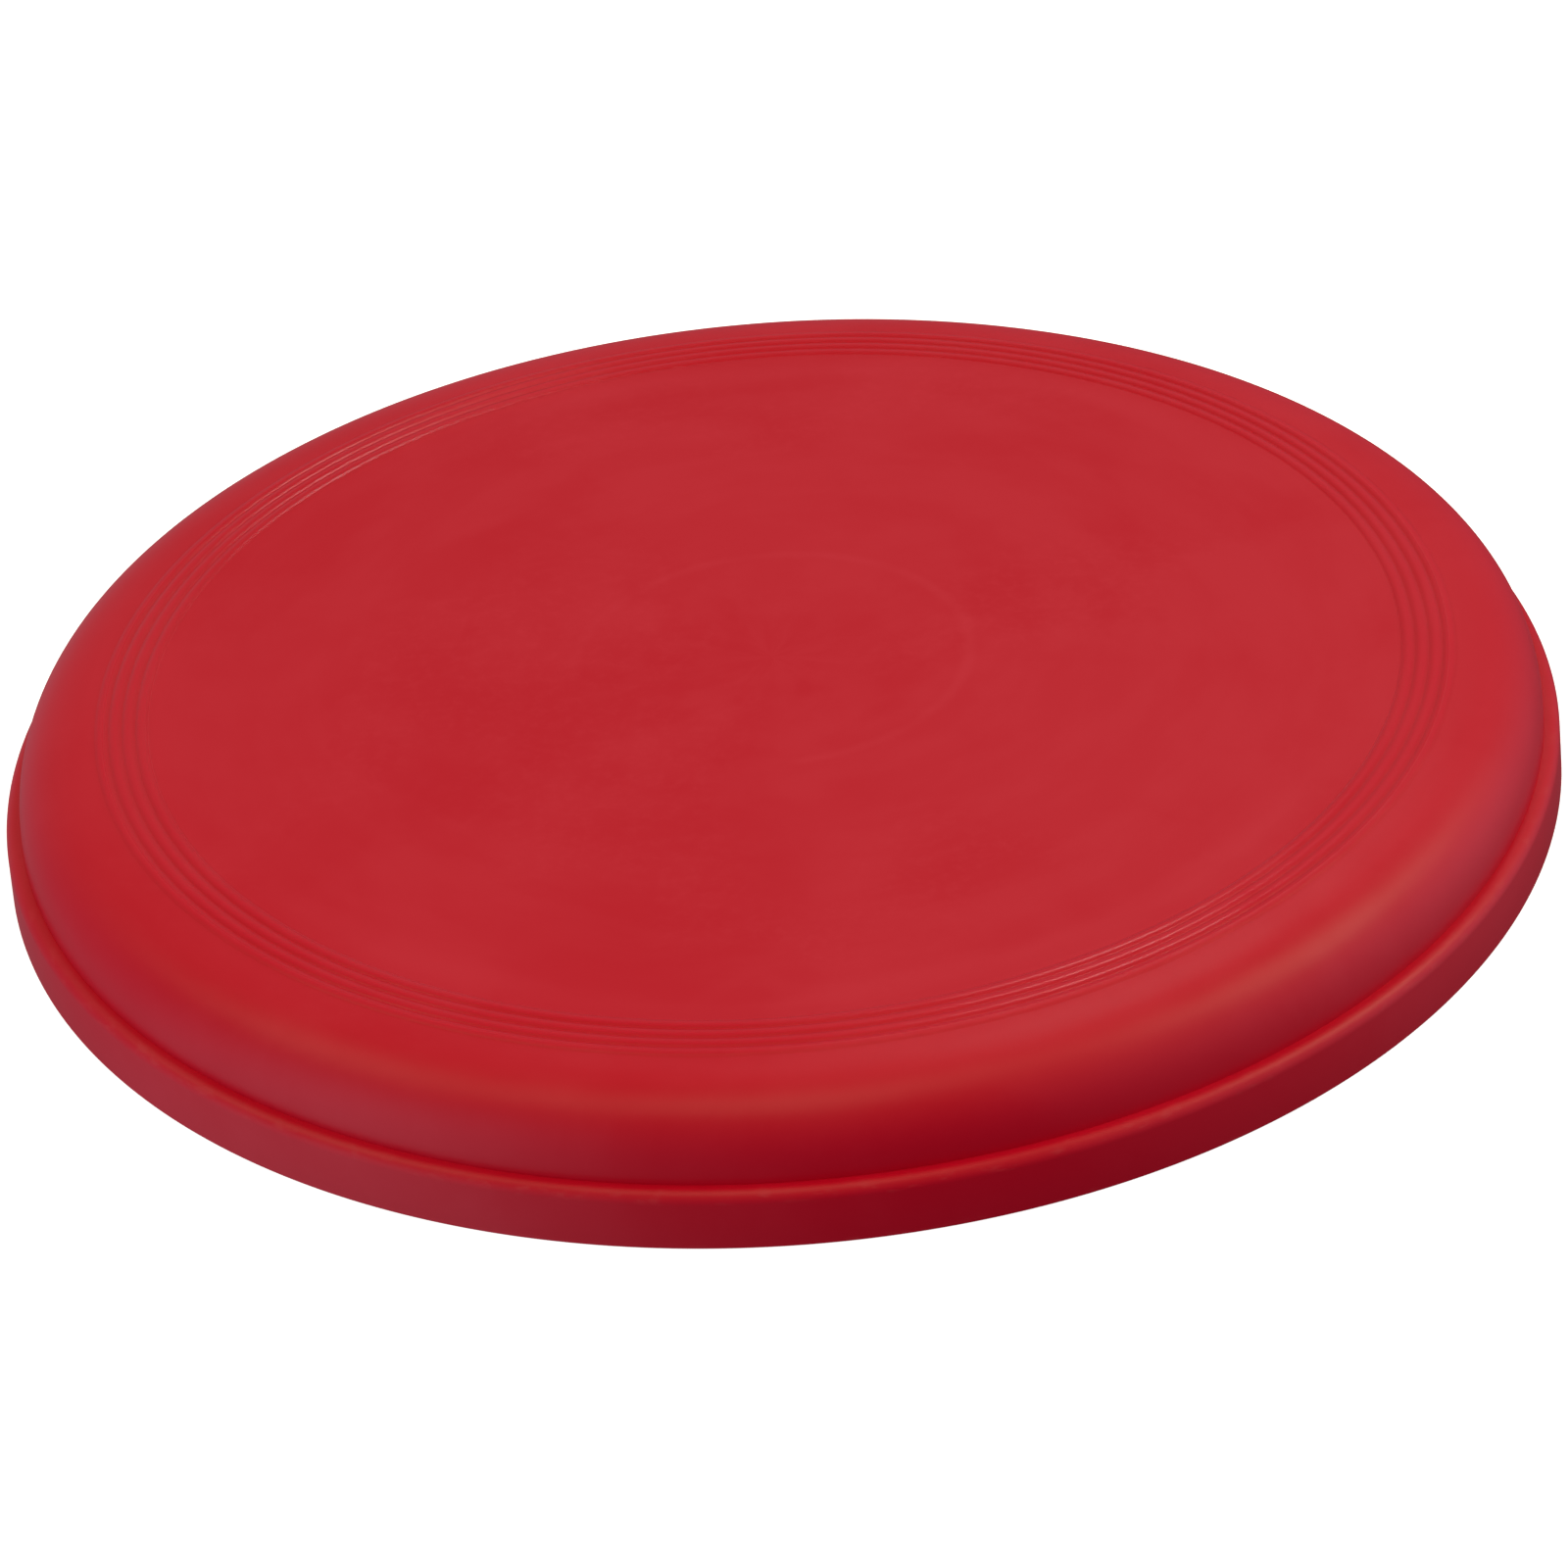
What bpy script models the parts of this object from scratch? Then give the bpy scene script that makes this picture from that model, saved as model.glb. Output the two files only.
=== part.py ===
"""Flying disc: one injection-moulded plastic shell, domed and closed above, open below.

Metres, +Z up. The disc's axis is Z and its rim stands on z = 0.
The whole disc is one turned section: a flat plate with four raised grip rings, a full shoulder,
a stepped rim that lets discs stack, and a hollow underside.
"""

import math

import bmesh
import bpy

# Outside of the disc.
RIM_RADIUS = 0.1150
RIM_DRAFT = 0.00025
FOOT_ROUND = 0.0004
LEDGE_HEIGHT = 0.0087
LIP_ROUND = 0.0017
WALL_RADIUS = 0.1124
PLATE_HEIGHT = 0.0206
PLATE_RADIUS = 0.0860
SHOULDER_FULLNESS = 5.5
SHOULDER_SQUARENESS = 2.2

# Four grip rings round the plate: rounded ridges side by side, with sharp grooves between them.
RING_COUNT = 4
RING_FIRST_RADIUS = 0.0929
RING_PITCH = 0.0020
RING_HEIGHT = 0.00026
RING_FULLNESS = 2.0

# Inside of the disc.
PLATE_WALL = 0.0017
RIM_WALL = 0.0020
FOOT_INNER_ROUND = 0.0003
GATE_RADIUS = 0.0025
GATE_HEIGHT = 0.0005

# Steps of the turned surface.
SEGMENTS = 104
LIP_STEPS = 5
SHOULDER_STEPS = 12
INNER_SHOULDER_STEPS = 9
RING_STEPS = 4


def shoulder_height(radius):
    """Height of the plate and shoulder, without the rings, from the axis out to the wall."""
    share = max(0.0, (radius - PLATE_RADIUS) / (WALL_RADIUS - PLATE_RADIUS))
    drop = (1.0 - min(1.0, share) ** SHOULDER_FULLNESS) ** (1.0 / SHOULDER_SQUARENESS)
    return LEDGE_HEIGHT + (PLATE_HEIGHT - LEDGE_HEIGHT) * drop


def ring_height(radius):
    """How far the rings stand above the shoulder curve."""
    first = RING_FIRST_RADIUS - RING_PITCH / 2
    turn = (radius - first) / RING_PITCH
    if turn <= 0.0 or turn >= RING_COUNT:
        return 0.0
    return RING_HEIGHT * (1.0 - abs(2.0 * (turn % 1.0) - 1.0) ** RING_FULLNESS)


def shoulder_radius(step, steps):
    """Radii that close up towards the wall, where the shoulder turns down."""
    start = RING_FIRST_RADIUS + (RING_COUNT - 0.5) * RING_PITCH
    angle = math.pi / 2.0 * step / steps
    return start + (WALL_RADIUS - start) * math.sin(angle) ** 0.9


def arc(centre_radius, centre_height, size, start, end, steps):
    """Points of an arc, by the angle from the outward direction, in degrees."""
    points = []
    for step in range(steps + 1):
        angle = math.radians(start + (end - start) * step / steps)
        points.append((centre_radius + size * math.cos(angle), centre_height + size * math.sin(angle)))
    return points


def outer_profile():
    """The outside, from the axis at the top, over the rings and shoulder, to the foot."""
    points = [(0.0, PLATE_HEIGHT), (PLATE_RADIUS / 2.0, PLATE_HEIGHT), (PLATE_RADIUS, PLATE_HEIGHT)]
    points.append((PLATE_RADIUS + 0.004, shoulder_height(PLATE_RADIUS + 0.004)))
    first = RING_FIRST_RADIUS - RING_PITCH / 2.0
    for step in range(RING_COUNT * RING_STEPS + 1):
        radius = first + RING_PITCH * step / RING_STEPS
        points.append((radius, shoulder_height(radius) + ring_height(radius)))
    for step in range(1, SHOULDER_STEPS + 1):
        radius = shoulder_radius(step, SHOULDER_STEPS)
        points.append((radius, shoulder_height(radius)))
    lip_radius = RIM_RADIUS - RIM_DRAFT - LIP_ROUND
    points += arc(lip_radius, LEDGE_HEIGHT - LIP_ROUND, LIP_ROUND, 90.0, 0.0, LIP_STEPS)
    foot_radius = RIM_RADIUS - FOOT_ROUND
    points += arc(foot_radius, FOOT_ROUND, FOOT_ROUND, 0.0, -90.0, 2)
    return points


def inner_shoulder():
    """The underside of the plate and shoulder: the outer curve moved in by the wall, wall to plate."""
    points = []
    for step in range(INNER_SHOULDER_STEPS, -1, -1):
        radius = shoulder_radius(step, INNER_SHOULDER_STEPS)
        back = shoulder_height(radius - 0.00001)
        slope = (shoulder_height(radius) - back) / 0.00001
        length = math.hypot(1.0, slope)
        points.append((radius + PLATE_WALL * slope / length, shoulder_height(radius) - PLATE_WALL / length))
    return points


def inner_profile():
    """The inside, from the foot up the rim, under the ledge, and along to the axis."""
    foot_radius = RIM_RADIUS - RIM_WALL + FOOT_INNER_ROUND
    points = arc(foot_radius, FOOT_INNER_ROUND, FOOT_INNER_ROUND, -90.0, -180.0, 2)
    lip_inner = LIP_ROUND - PLATE_WALL + 0.0005
    under_ledge = LEDGE_HEIGHT - PLATE_WALL
    top_radius = RIM_RADIUS - RIM_WALL - RIM_DRAFT - lip_inner
    points += arc(top_radius, under_ledge - lip_inner, lip_inner, 0.0, 90.0, 2)
    points.append((WALL_RADIUS - PLATE_WALL, under_ledge))
    points += inner_shoulder()
    under_plate = PLATE_HEIGHT - PLATE_WALL
    points.append((PLATE_RADIUS, under_plate))
    points.append((PLATE_RADIUS / 2.0, under_plate))
    points.append((GATE_RADIUS, under_plate))
    points.append((GATE_RADIUS * 0.8, under_plate - GATE_HEIGHT))
    points.append((0.0, under_plate - GATE_HEIGHT))
    return points


def turned_mesh(name, profile):
    """A closed mesh from a section that starts and ends on the axis."""
    shape = bmesh.new()
    rings = []
    for radius, height in profile:
        if radius == 0.0:
            rings.append([shape.verts.new((0.0, 0.0, height))])
            continue
        ring = []
        for segment in range(SEGMENTS):
            angle = 2.0 * math.pi * segment / SEGMENTS
            ring.append(shape.verts.new((radius * math.cos(angle), radius * math.sin(angle), height)))
        rings.append(ring)
    for upper, lower in zip(rings, rings[1:]):
        for segment in range(SEGMENTS):
            after = (segment + 1) % SEGMENTS
            if len(upper) == 1:
                shape.faces.new((upper[0], lower[segment], lower[after]))
            elif len(lower) == 1:
                shape.faces.new((upper[segment], lower[0], upper[after]))
            else:
                shape.faces.new((upper[segment], lower[segment], lower[after], upper[after]))
    bmesh.ops.recalc_face_normals(shape, faces=shape.faces)
    mesh = bpy.data.meshes.new(name)
    shape.to_mesh(mesh)
    shape.free()
    mesh.shade_smooth()
    mesh.set_sharp_from_angle(angle=math.radians(40.0))
    return mesh


def plastic(name, colour, roughness):
    """A coloured plastic."""
    material = bpy.data.materials.new(name)
    material.use_nodes = True
    shader = material.node_tree.nodes["Principled BSDF"]
    shader.inputs["Base Color"].default_value = (*colour, 1.0)
    shader.inputs["Roughness"].default_value = roughness
    shader.inputs["Metallic"].default_value = 0.0
    return material


def clear_scene():
    """Starts from an empty scene."""
    for item in list(bpy.data.objects):
        bpy.data.objects.remove(item, do_unlink=True)


def build():
    """The whole disc, which is a single moulding."""
    clear_scene()
    mesh = turned_mesh("disc", outer_profile() + inner_profile())
    mesh.materials.append(plastic("red_plastic", (0.50, 0.022, 0.030), 0.42))
    disc = bpy.data.objects.new("disc", mesh)
    bpy.context.scene.collection.objects.link(disc)


build()
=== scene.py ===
"""Flying disc: the looks of one moulded plastic disc on a pale studio floor. Metres, +Z up."""

import math

import bmesh
import bpy
from mathutils import Matrix, Vector


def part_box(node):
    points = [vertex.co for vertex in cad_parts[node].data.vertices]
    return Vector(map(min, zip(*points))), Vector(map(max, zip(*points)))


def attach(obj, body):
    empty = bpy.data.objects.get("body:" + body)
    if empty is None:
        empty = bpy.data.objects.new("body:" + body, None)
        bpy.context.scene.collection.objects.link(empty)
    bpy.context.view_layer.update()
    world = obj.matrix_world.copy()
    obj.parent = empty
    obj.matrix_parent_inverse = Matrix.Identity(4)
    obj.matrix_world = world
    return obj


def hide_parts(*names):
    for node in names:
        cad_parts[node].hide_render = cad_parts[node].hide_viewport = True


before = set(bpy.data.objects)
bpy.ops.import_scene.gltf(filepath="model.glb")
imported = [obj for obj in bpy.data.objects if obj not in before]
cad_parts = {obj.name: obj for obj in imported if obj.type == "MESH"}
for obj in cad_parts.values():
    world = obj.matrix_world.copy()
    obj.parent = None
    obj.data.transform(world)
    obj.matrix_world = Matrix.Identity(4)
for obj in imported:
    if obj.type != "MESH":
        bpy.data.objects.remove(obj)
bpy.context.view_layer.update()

# The disc's section: places that the CAD solid fixes come from its box.
LOW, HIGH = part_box("disc")
RIM_RADIUS = HIGH.x
RIM_DRAFT = 0.00025
FOOT_ROUND = 0.0004
LEDGE_HEIGHT = 0.0087
LIP_ROUND = 0.0017
WALL_RADIUS = RIM_RADIUS - 0.0026
PLATE_HEIGHT = 0.0206
PLATE_RADIUS = 0.0860
SHOULDER_FULLNESS = 5.5
SHOULDER_SQUARENESS = 2.2
RING_COUNT = 4
RING_FIRST_RADIUS = 0.0929
RING_PITCH = 0.0020
RING_HEIGHT = 0.00026
RING_FULLNESS = 2.0
PLATE_WALL = 0.0017
RIM_WALL = 0.0020
FOOT_INNER_ROUND = 0.0003
GATE_RADIUS = 0.0025
GATE_HEIGHT = 0.0005

# Steps of the turned surface.
SEGMENTS = 360
PLATE_STEPS = 12
LIP_STEPS = 10
SHOULDER_STEPS = 36
RING_STEPS = 16

# The camera looks down on the disc from the front, a little rolled.
CAMERA_DISTANCE = 0.8163
CAMERA_ELEVATION = 32.71
CAMERA_ROLL = 5.105
CAMERA_LENS = 125.73
AIM_RIGHT = 0.00023
AIM_DOWN = 0.00158

FLOOR_HALF_SIDE = 12.0
FLOOR_GLOW = 0.85

# Light on the disc. Directions are azimuth from +X towards +Y, and elevation, in degrees.
SKY_COLOUR = (1.0, 1.0, 0.38)
WARM = (1.0, 1.0, 0.67)
COOL = (1.0, 1.0, 1.15)
WHITE = (1.0, 1.0, 1.0)
SKY_STRENGTH = 0.208
FILL_STRENGTH = 0.048
# A glow is a soft round patch of the surroundings: azimuth, elevation, narrowness, strength, and colour.
GLOWS = (
    ("overhead", 0.0, 90.0, 6.0, 0.190, SKY_COLOUR),
    ("right reflector", -2.0, 22.0, 6.0, 0.460, COOL),
    ("front right reflector", -22.0, 10.0, 7.0, 0.240, COOL),
    ("back right reflector", 14.0, 4.0, 7.0, 0.460, COOL),
    ("left reflector", 207.0, 6.0, 8.0, 1.080, COOL),
    ("back reflector", 72.0, 40.0, 6.0, 0.210, COOL),
    ("back left reflector", 140.0, 20.0, 5.0, 0.110, COOL),
    ("bright horizon behind", 114.0, -8.0, 10.0, 0.260, COOL),
    ("bright ground at the left", 202.0, -35.0, 6.0, 0.660, COOL),
)
# A softbox is a square area light: azimuth, elevation, distance, size, power in watts, and colour.
SOFTBOXES = (
    ("key", 2.0, 45.0, 0.95, 0.45, 1.80, WARM),
    ("back", 71.0, 53.5, 0.97, 0.11, 0.42, WHITE),
    ("front", -105.0, 72.0, 0.95, 0.50, 1.14, WARM),
    ("left", 180.0, 50.0, 0.95, 0.50, 0.93, WARM),
)

# The plastic's colours, in linear light.
DEEP_RED = (0.578, 0.0, 0.0162, 1.0)
PALE_RED = (0.624, 0.0006, 0.0218, 1.0)
WORN_RED = (0.62, 0.045, 0.060, 1.0)

# Sizes of the marks in the plastic, in metres or per metre.
SWIRLS_PER_METRE = 16.0
SWIRL_REACH = 0.07
CLOUDS_PER_METRE = 26.0
SWEEPS_PER_METRE = 120.0
PATCHES_PER_METRE = 19.0
SPECKS_PER_METRE = 480.0
SPECKLE_FADE = (0.080, 0.105)
CIRCLE_RADIUS = 0.0292
CIRCLE_REACH = 0.0016
# The pale zone just inside the raised rings is a painted sheen.
BAND_RADIUS = 0.0875
BAND_REACH = 0.0045
GRAINS_PER_METRE = 2300.0
GRAIN_DEPTH = 0.0000012
WAVES_PER_METRE = 55.0
WAVE_DEPTH = 0.000022
CUTS_PER_METRE = 900.0
CUT_DEPTH = 0.0000012
HIDDEN_CUT_DEPTH = 0.0000040

# Where the rings' smooth face and the painted light on their tops lie, and where the edges are rubbed.
SMOOTH_MIDDLE = 0.0954
SMOOTH_CORE = 0.0032
SMOOTH_REACH = 0.0038
SMOOTH_HEIGHTS = (0.0188, 0.0194)
CREST_SHIFT = 0.00015
CREST_MIDDLE = 0.0959
CREST_CORE = 0.0036
CREST_REACH = 0.0046
LIP_WEAR_DROP = 0.0006
LIP_WEAR_REACH = 0.0016
LIP_WEAR_RADII = (0.1128, 0.1140)
FOOT_WEAR_HEIGHT = 0.0012
FOOT_WEAR_RADII = (0.1120, 0.1130)
SCUFF_TURNS = 34.0
SCUFFS_PER_METRE = 900.0


def shoulder_height(radius):
    """Height of the plate and shoulder, without the rings, from the axis out to the wall."""
    share = max(0.0, (radius - PLATE_RADIUS) / (WALL_RADIUS - PLATE_RADIUS))
    drop = (1.0 - min(1.0, share) ** SHOULDER_FULLNESS) ** (1.0 / SHOULDER_SQUARENESS)
    return LEDGE_HEIGHT + (PLATE_HEIGHT - LEDGE_HEIGHT) * drop


def ring_height(radius):
    """How far the rings stand above the shoulder curve."""
    turn = (radius - RING_FIRST_RADIUS) / RING_PITCH + 0.5
    if turn <= 0.0 or turn >= RING_COUNT:
        return 0.0
    return RING_HEIGHT * (1.0 - abs(2.0 * (turn % 1.0) - 1.0) ** RING_FULLNESS)


def shoulder_radius(step, steps):
    """Radii that close up towards the wall, where the shoulder turns down."""
    start = RING_FIRST_RADIUS + (RING_COUNT - 0.5) * RING_PITCH
    angle = math.pi / 2.0 * step / steps
    return start + (WALL_RADIUS - start) * math.sin(angle) ** 0.9


def arc(centre_radius, centre_height, size, start, end, steps):
    """Points of an arc, by the angle from the outward direction, in degrees."""
    points = []
    for step in range(steps + 1):
        angle = math.radians(start + (end - start) * step / steps)
        points.append((centre_radius + size * math.cos(angle), centre_height + size * math.sin(angle)))
    return points


def outer_profile():
    """The outside, from the axis at the top, over the rings and shoulder, to the foot."""
    points = [(0.0, PLATE_HEIGHT)]
    for step in range(1, PLATE_STEPS + 1):
        points.append((PLATE_RADIUS * step / PLATE_STEPS, PLATE_HEIGHT))
    first = RING_FIRST_RADIUS - RING_PITCH / 2.0
    for step in range(1, 5):
        radius = PLATE_RADIUS + (first - PLATE_RADIUS) * step / 5
        points.append((radius, shoulder_height(radius)))
    for step in range(-1, RING_COUNT * RING_STEPS + 2):
        radius = first + RING_PITCH * step / RING_STEPS
        points.append((radius, shoulder_height(radius) + ring_height(radius)))
    for step in range(1, SHOULDER_STEPS + 1):
        radius = shoulder_radius(step, SHOULDER_STEPS)
        points.append((radius, shoulder_height(radius)))
    lip_radius = RIM_RADIUS - RIM_DRAFT - LIP_ROUND
    points += arc(lip_radius, LEDGE_HEIGHT - LIP_ROUND, LIP_ROUND, 90.0, 0.0, LIP_STEPS)
    points += arc(RIM_RADIUS - FOOT_ROUND, FOOT_ROUND, FOOT_ROUND, 0.0, -90.0, 4)
    return points


def inner_shoulder():
    """The underside of the plate and shoulder: the outer curve moved in by the wall, wall to plate."""
    points = []
    for step in range(SHOULDER_STEPS, -1, -1):
        radius = shoulder_radius(step, SHOULDER_STEPS)
        back = shoulder_height(radius - 0.00001)
        slope = (shoulder_height(radius) - back) / 0.00001
        length = math.hypot(1.0, slope)
        points.append((radius + PLATE_WALL * slope / length, shoulder_height(radius) - PLATE_WALL / length))
    return points


def inner_profile():
    """The inside, from the foot up the rim, under the ledge, and along to the axis."""
    foot_radius = RIM_RADIUS - RIM_WALL + FOOT_INNER_ROUND
    points = arc(foot_radius, FOOT_INNER_ROUND, FOOT_INNER_ROUND, -90.0, -180.0, 4)
    lip_inner = LIP_ROUND - PLATE_WALL + 0.0005
    under_ledge = LEDGE_HEIGHT - PLATE_WALL
    top_radius = RIM_RADIUS - RIM_WALL - RIM_DRAFT - lip_inner
    points += arc(top_radius, under_ledge - lip_inner, lip_inner, 0.0, 90.0, 5)
    points.append((WALL_RADIUS - PLATE_WALL, under_ledge))
    points += inner_shoulder()
    under_plate = PLATE_HEIGHT - PLATE_WALL
    for step in range(PLATE_STEPS, 0, -1):
        radius = GATE_RADIUS + (PLATE_RADIUS - GATE_RADIUS) * step / PLATE_STEPS
        points.append((radius, under_plate))
    points.append((GATE_RADIUS, under_plate))
    points.append((GATE_RADIUS * 0.8, under_plate - GATE_HEIGHT))
    points.append((0.0, under_plate - GATE_HEIGHT))
    return points


def turned_mesh(name, profile):
    """A closed mesh from a section that starts and ends on the axis."""
    shape = bmesh.new()
    rings = []
    for radius, height in profile:
        if radius == 0.0:
            rings.append([shape.verts.new((0.0, 0.0, height))])
            continue
        ring = []
        for segment in range(SEGMENTS):
            angle = 2.0 * math.pi * segment / SEGMENTS
            ring.append(shape.verts.new((radius * math.cos(angle), radius * math.sin(angle), height)))
        rings.append(ring)
    for upper, lower in zip(rings, rings[1:]):
        for segment in range(SEGMENTS):
            after = (segment + 1) % SEGMENTS
            if len(upper) == 1:
                shape.faces.new((upper[0], lower[segment], lower[after]))
            elif len(lower) == 1:
                shape.faces.new((upper[segment], lower[0], upper[after]))
            else:
                shape.faces.new((upper[segment], lower[segment], lower[after], upper[after]))
    mesh = bpy.data.meshes.new(name)
    shape.to_mesh(mesh)
    shape.free()
    mesh.shade_smooth()
    mesh.set_sharp_from_angle(angle=math.radians(60.0))
    return mesh


def add_camera():
    """The camera, looking down on the disc from the front."""
    elevation = math.radians(CAMERA_ELEVATION)
    away = Vector((0.0, -math.cos(elevation), math.sin(elevation)))
    right = Vector((1.0, 0.0, 0.0))
    up = away.cross(right)
    roll = math.radians(CAMERA_ROLL)
    turn = Matrix.Rotation(-roll, 3, away)
    place = away * CAMERA_DISTANCE
    aim = turn @ (right * AIM_RIGHT - up * AIM_DOWN)
    looking = (place - aim).normalized()
    pose = Matrix((right, up, away)).transposed()
    pose = turn @ pose
    tilt = away.rotation_difference(looking).to_matrix()
    pose = tilt @ pose
    data = bpy.data.cameras.new("camera")
    data.lens = CAMERA_LENS
    data.sensor_width = 36.0
    camera = bpy.data.objects.new("camera", data)
    camera.matrix_world = Matrix.Translation(place) @ pose.to_4x4()
    bpy.context.scene.collection.objects.link(camera)
    bpy.context.scene.camera = camera


def add_disc():
    """The disc's own mesh, which stands for the CAD node."""
    mesh = turned_mesh("disc_shell", outer_profile() + inner_profile())
    disc = bpy.data.objects.new("disc_shell", mesh)
    bpy.context.scene.collection.objects.link(disc)
    return disc


def direction(azimuth, elevation):
    """The unit vector towards an azimuth and elevation in degrees."""
    around = math.radians(azimuth)
    up = math.radians(elevation)
    return Vector((math.cos(up) * math.cos(around), math.cos(up) * math.sin(around), math.sin(up)))


def add_node(tree, kind, inputs=None, **properties):
    """A shader node. Each input, by name or number, takes a number or another node's output."""
    node = tree.nodes.new(kind)
    for name, value in properties.items():
        setattr(node, name, value)
    for key, value in (inputs or {}).items():
        if isinstance(value, bpy.types.NodeSocket):
            tree.links.new(value, node.inputs[key])
        else:
            node.inputs[key].default_value = value
    return node


def maths(tree, operation, *values):
    """The result of a Math node."""
    inputs = dict(enumerate(values))
    return add_node(tree, "ShaderNodeMath", inputs, operation=operation).outputs[0]


def vector_maths(tree, operation, *values, output="Vector"):
    """The result of a Vector Math node."""
    inputs = dict(enumerate(values))
    return add_node(tree, "ShaderNodeVectorMath", inputs, operation=operation).outputs[output]


def remap(tree, value, low, high, new_low=0.0, new_high=1.0):
    """The value smoothly carried from one range to another, and held at the ends."""
    inputs = {"Value": value, "From Min": low, "From Max": high, "To Min": new_low, "To Max": new_high}
    return add_node(tree, "ShaderNodeMapRange", inputs, interpolation_type="SMOOTHSTEP").outputs["Result"]


def blend(tree, share, first, second):
    """One colour mixed into another by a share."""
    inputs = {"Factor": share, 6: first, 7: second}
    return add_node(tree, "ShaderNodeMix", inputs, data_type="RGBA").outputs[2]


def noise(tree, vector, scale, detail=2.0, roughness=0.5):
    """Noise between about 0.2 and 0.8, with features of 1 / scale metres."""
    inputs = {"Vector": vector, "Scale": scale, "Detail": detail, "Roughness": roughness}
    return add_node(tree, "ShaderNodeTexNoise", inputs).outputs["Fac"]


def weighted_sum(tree, start, *pairs):
    """The start value plus each value times its weight."""
    total = start
    for value, weight in pairs:
        total = maths(tree, "MULTIPLY_ADD", value, weight, total)
    return total


def add_world():
    """Soft surroundings: a warm sky, dim ground in front, and pale reflectors at the sides and behind."""
    world = bpy.data.worlds.new("studio")
    bpy.context.scene.world = world
    world.use_nodes = True
    tree = world.node_tree
    tree.nodes.clear()
    towards = add_node(tree, "ShaderNodeTexCoord").outputs["Generated"]
    height = add_node(tree, "ShaderNodeSeparateXYZ", {"Vector": towards}).outputs["Z"]
    sky = remap(tree, height, -0.15, 0.9, 0.0, SKY_STRENGTH)
    # The glows of one colour add up to one strength, and each colour has a shader of its own.
    light = {SKY_COLOUR: sky, COOL: FILL_STRENGTH}
    for name, azimuth, elevation, narrowness, strength, colour in GLOWS:
        facing = vector_maths(tree, "DOT_PRODUCT", towards, direction(azimuth, elevation), output="Value")
        power = maths(tree, "MULTIPLY_ADD", facing, narrowness, -narrowness)
        light[colour] = maths(tree, "MULTIPLY_ADD", maths(tree, "EXPONENT", power), strength, light[colour])
    sky_light, reflected = [
        add_node(tree, "ShaderNodeBackground", {"Color": (*colour, 1.0), "Strength": strength}).outputs[0]
        for colour, strength in light.items()
    ]
    glow = add_node(tree, "ShaderNodeAddShader", {0: sky_light, 1: reflected}).outputs[0]
    white = add_node(tree, "ShaderNodeBackground", {"Color": (1.0, 1.0, 1.0, 1.0), "Strength": 1.0})
    seen = add_node(tree, "ShaderNodeLightPath").outputs["Is Camera Ray"]
    mixed = add_node(tree, "ShaderNodeMixShader", {0: seen, 1: glow, 2: white.outputs[0]})
    add_node(tree, "ShaderNodeOutputWorld", {"Surface": mixed.outputs[0]})


def add_softboxes():
    """The square soft lights round the disc."""
    for name, azimuth, elevation, distance, size, power, colour in SOFTBOXES:
        data = bpy.data.lights.new(name, "AREA")
        data.shape = "SQUARE"
        data.size = size
        data.energy = power
        data.color = colour
        towards = direction(azimuth, elevation)
        light = bpy.data.objects.new(name, data)
        light.location = towards * distance
        light.rotation_euler = towards.to_track_quat("Z", "Y").to_euler()
        light.visible_camera = False
        bpy.context.scene.collection.objects.link(light)


def add_floor():
    """A plain pale floor. Only the camera sees it, so the disc keeps the dark ground in its sides."""
    shape = bmesh.new()
    bmesh.ops.create_grid(shape, x_segments=1, y_segments=1, size=FLOOR_HALF_SIDE)
    mesh = bpy.data.meshes.new("floor")
    shape.to_mesh(mesh)
    shape.free()
    material = bpy.data.materials.new("floor")
    material.use_nodes = True
    shader = material.node_tree.nodes["Principled BSDF"]
    shader.inputs["Base Color"].default_value = (0.85, 0.85, 0.85, 1.0)
    shader.inputs["Roughness"].default_value = 0.9
    shader.inputs["Specular IOR Level"].default_value = 0.1
    shader.inputs["Emission Color"].default_value = (0.96, 0.97, 1.0, 1.0)
    shader.inputs["Emission Strength"].default_value = FLOOR_GLOW
    mesh.materials.append(material)
    floor = bpy.data.objects.new("floor", mesh)
    floor.visible_diffuse = False
    floor.visible_glossy = False
    floor.visible_shadow = False
    bpy.context.scene.collection.objects.link(floor)


def turned_place(tree, place):
    """Distance from the axis, height, and the outward direction, which goes round without a seam."""
    parts = add_node(tree, "ShaderNodeSeparateXYZ", {"Vector": place}).outputs
    flat = add_node(tree, "ShaderNodeCombineXYZ", {"X": parts["X"], "Y": parts["Y"]}).outputs[0]
    radius = vector_maths(tree, "LENGTH", flat, output="Value")
    unit = vector_maths(tree, "NORMALIZE", flat)
    outward = add_node(tree, "ShaderNodeSeparateXYZ", {"Vector": unit}).outputs
    return radius, parts["Z"], outward


def streak_noise(tree, outward, across, turns, fineness, detail=2.0):
    """Noise drawn out round the axis: turns sets how often it changes round, fineness how often across."""
    inputs = {
        "X": maths(tree, "MULTIPLY", outward["X"], turns),
        "Y": maths(tree, "MULTIPLY", outward["Y"], turns),
        "Z": maths(tree, "MULTIPLY", across, fineness),
    }
    point = add_node(tree, "ShaderNodeCombineXYZ", inputs).outputs[0]
    return noise(tree, point, 1.0, detail)


def near(tree, value, middle, reach, core=0.0):
    """1 within the core distance of the middle, fading to 0 at the reach."""
    gap = maths(tree, "ABSOLUTE", maths(tree, "SUBTRACT", value, middle))
    return remap(tree, gap, core, reach, 1.0, 0.0)


def product(tree, *values):
    """All the values multiplied together."""
    total = values[0]
    for value in values[1:]:
        total = maths(tree, "MULTIPLY", total, value)
    return total


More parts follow.
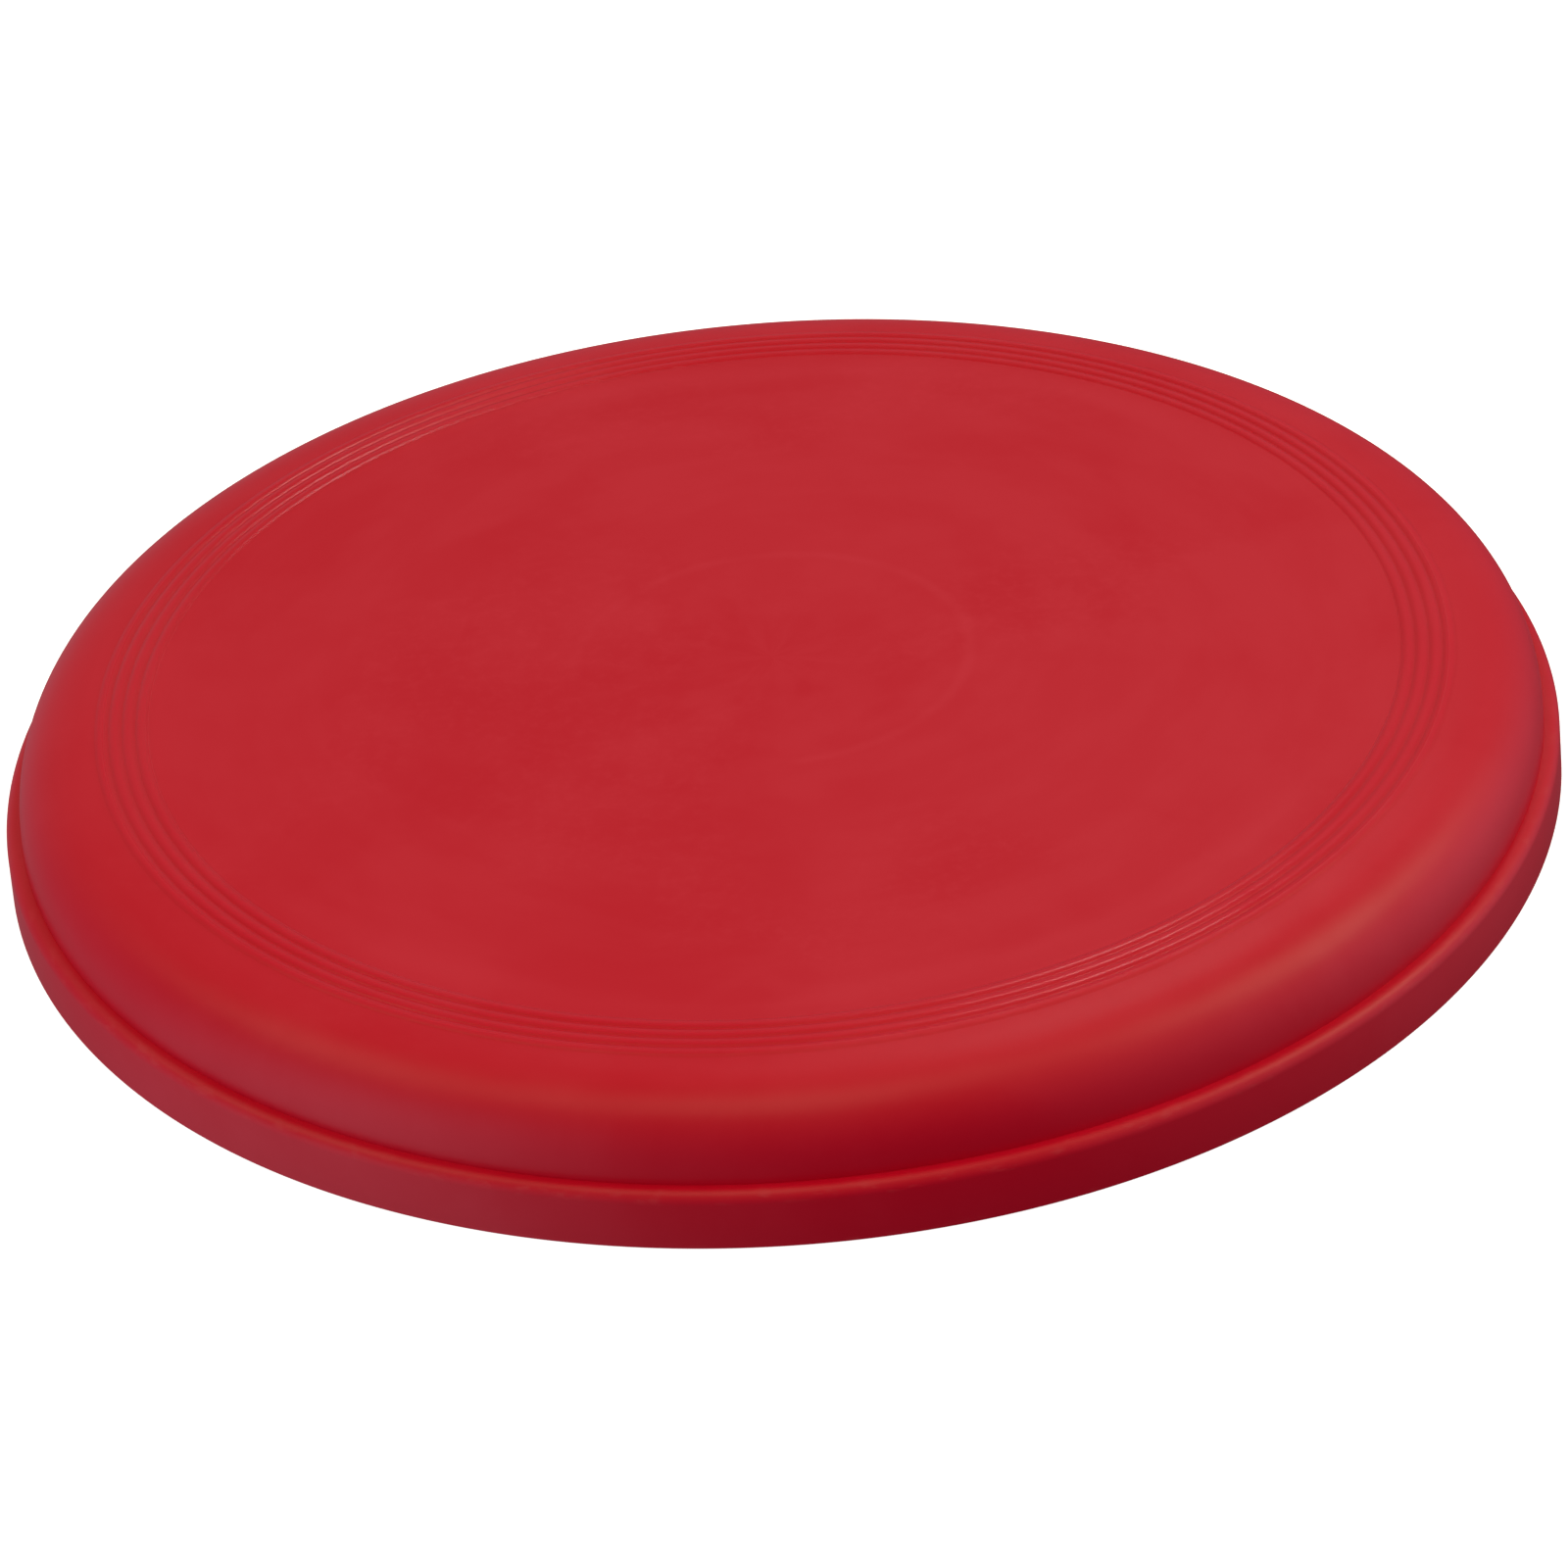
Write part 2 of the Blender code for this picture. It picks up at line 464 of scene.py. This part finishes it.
def swirl(tree, place):
    """The place pushed about by a slow noise, so that what follows it looks stirred."""
    inputs = {"Vector": place, "Scale": SWIRLS_PER_METRE, "Detail": 2.0}
    drift = add_node(tree, "ShaderNodeTexNoise", inputs).outputs["Color"]
    drift = vector_maths(tree, "SUBTRACT", drift, (0.5, 0.5, 0.5))
    drift = vector_maths(tree, "MULTIPLY", drift, (SWIRL_REACH, SWIRL_REACH, SWIRL_REACH))
    return vector_maths(tree, "ADD", place, drift)


def flow_marks(tree, swirled, radius, outward):
    """Cloudy swirls, partly drawn out round the axis, where the melt folded as it filled the mould."""
    cloud = remap(tree, noise(tree, swirled, CLOUDS_PER_METRE, 4.0, 0.55), 0.36, 0.64)
    swept = remap(tree, streak_noise(tree, outward, radius, 2.6, SWEEPS_PER_METRE, 4.0), 0.36, 0.64)
    return maths(tree, "MULTIPLY_ADD", maths(tree, "SUBTRACT", swept, cloud), 0.4, cloud)


def speckle_marks(tree, place, swirled, radius):
    """Small pale grains that come and go in patches, most of them on the plate."""
    shifted = vector_maths(tree, "ADD", swirled, (0.3, 0.1, 0.7))
    patches = remap(tree, noise(tree, shifted, PATCHES_PER_METRE, 2.0), 0.46, 0.62)
    grains = remap(tree, noise(tree, place, SPECKS_PER_METRE, 4.0, 0.7), 0.44, 0.72)
    share = remap(tree, radius, *SPECKLE_FADE, 1.0, 0.25)
    return product(tree, patches, grains, share)


def pale_circle_and_painted_sheen(tree, radius, outward):
    """A thin pale circle round the centre, and a soft pale zone just inside the raised rings, both broken.
    The pale zone is a painted sheen, standing in for light on the gently curving surface there.
    """
    broken = remap(tree, streak_noise(tree, outward, radius, 1.3, 8.0), 0.44, 0.60)
    circle = product(tree, near(tree, radius, CIRCLE_RADIUS, CIRCLE_REACH), broken)
    # The pale zone inside the rings is a painted sheen.
    painted_sheen_zone = product(tree, near(tree, radius, BAND_RADIUS, BAND_REACH), broken)
    return circle, painted_sheen_zone


def edge_wear(tree, radius, height, outward):
    """Scuffs on the lip and the foot, which touch other things first."""
    lip = near(tree, height, LEDGE_HEIGHT - LIP_WEAR_DROP, LIP_WEAR_REACH)
    lip = product(tree, lip, remap(tree, radius, *LIP_WEAR_RADII))
    foot = remap(tree, height, 0.0, FOOT_WEAR_HEIGHT, 1.0, 0.0)
    foot = product(tree, foot, remap(tree, radius, *FOOT_WEAR_RADII))
    scuffs = streak_noise(tree, outward, height, SCUFF_TURNS, SCUFFS_PER_METRE, 3.0)
    scuffs = remap(tree, scuffs, 0.52, 0.70)
    return product(tree, maths(tree, "MAXIMUM", lip, foot), scuffs)


def smooth_rings(tree, radius, height):
    """The raised rings were cut into the mould, and keep a smoother face than the rest."""
    rings = near(tree, radius, SMOOTH_MIDDLE, SMOOTH_REACH, SMOOTH_CORE)
    return product(tree, rings, remap(tree, height, *SMOOTH_HEIGHTS))


def painted_ring_light(tree, radius):
    """1 at the top of each ring, down to -1 in the grooves between: a painted highlight on the ring tops
    and painted shade in the grooves.
    """
    per_metre = 2.0 * math.pi / RING_PITCH
    first_crest = RING_FIRST_RADIUS + CREST_SHIFT
    turns = maths(tree, "MULTIPLY_ADD", radius, per_metre, -per_metre * first_crest)
    waves = maths(tree, "COSINE", turns)
    return product(tree, waves, near(tree, radius, CREST_MIDDLE, CREST_REACH, CREST_CORE))


def relief(tree, coordinates, radius, height, outward, rings):
    """Height in metres of the mould's fine grain, a slight unevenness, and turning marks."""
    place = coordinates["Object"]
    grain = noise(tree, place, GRAINS_PER_METRE, 2.0)
    waves = noise(tree, place, WAVES_PER_METRE, 2.0)
    turning = streak_noise(tree, outward, maths(tree, "ADD", radius, height), 3.0, CUTS_PER_METRE)
    side = add_node(tree, "ShaderNodeSeparateXYZ", {"Vector": coordinates["Normal"]}).outputs["Z"]
    underneath = remap(tree, side, -0.2, -0.6)
    depth = maths(tree, "MULTIPLY_ADD", underneath, HIDDEN_CUT_DEPTH, CUT_DEPTH)
    cuts = product(tree, turning, depth)
    fine = product(tree, grain, maths(tree, "SUBTRACT", 1.0, rings))
    return weighted_sum(tree, cuts, (fine, GRAIN_DEPTH), (waves, WAVE_DEPTH))


def red_plastic():
    """Satin red moulded plastic with faint flow swirls, the mould's fine grain, and lightly worn edges,
    with painted highlight and shade on the rings and a painted sheen just inside them.
    """
    material = bpy.data.materials.new("red_plastic")
    material.use_nodes = True
    tree = material.node_tree
    shader = tree.nodes["Principled BSDF"].inputs
    coordinates = add_node(tree, "ShaderNodeTexCoord").outputs
    place = coordinates["Object"]
    radius, height, outward = turned_place(tree, place)
    swirled = swirl(tree, place)
    flow = flow_marks(tree, swirled, radius, outward)
    speckle = speckle_marks(tree, place, swirled, radius)
    circle, painted_sheen_zone = pale_circle_and_painted_sheen(tree, radius, outward)
    wear = edge_wear(tree, radius, height, outward)
    rings = smooth_rings(tree, radius, height)
    # Painted highlight on the ring tops and painted shade in the grooves between them.
    painted_crest_light = painted_ring_light(tree, radius)

    # The base colour holds painted light besides the plastic's own colour: a painted highlight on the ring
    # tops, painted shade in the grooves, and a painted sheen just inside the rings.
    marks_and_painted_light = ((flow, 0.60), (speckle, 0.30), (circle, 0.30), (painted_sheen_zone, 0.30), (painted_crest_light, 0.62))
    plain = blend(tree, weighted_sum(tree, 0.18, *marks_and_painted_light), DEEP_RED, PALE_RED)
    worn = blend(tree, maths(tree, "MULTIPLY", wear, 0.35), plain, WORN_RED)
    tree.links.new(worn, shader["Base Color"])
    matte = weighted_sum(tree, 0.385, (flow, 0.025), (speckle, 0.05), (wear, 0.12), (rings, -0.16))
    tree.links.new(matte, shader["Roughness"])
    gloss = weighted_sum(tree, 0.230, (flow, 0.11), (speckle, 0.07), (circle, 0.06), (painted_sheen_zone, 0.05))
    tree.links.new(gloss, shader["Specular IOR Level"])
    height_map = relief(tree, coordinates, radius, height, outward, rings)
    bump = add_node(tree, "ShaderNodeBump", {"Strength": 1.0, "Distance": 1.0, "Height": height_map})
    tree.links.new(bump.outputs[0], shader["Normal"])
    return material


def main():
    """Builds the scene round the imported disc."""
    bpy.context.scene.view_settings.view_transform = "Standard"
    add_camera()
    add_world()
    add_softboxes()
    add_floor()
    disc = add_disc()
    disc.data.materials.append(red_plastic())
    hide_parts("disc")
    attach(disc, "root")


main()
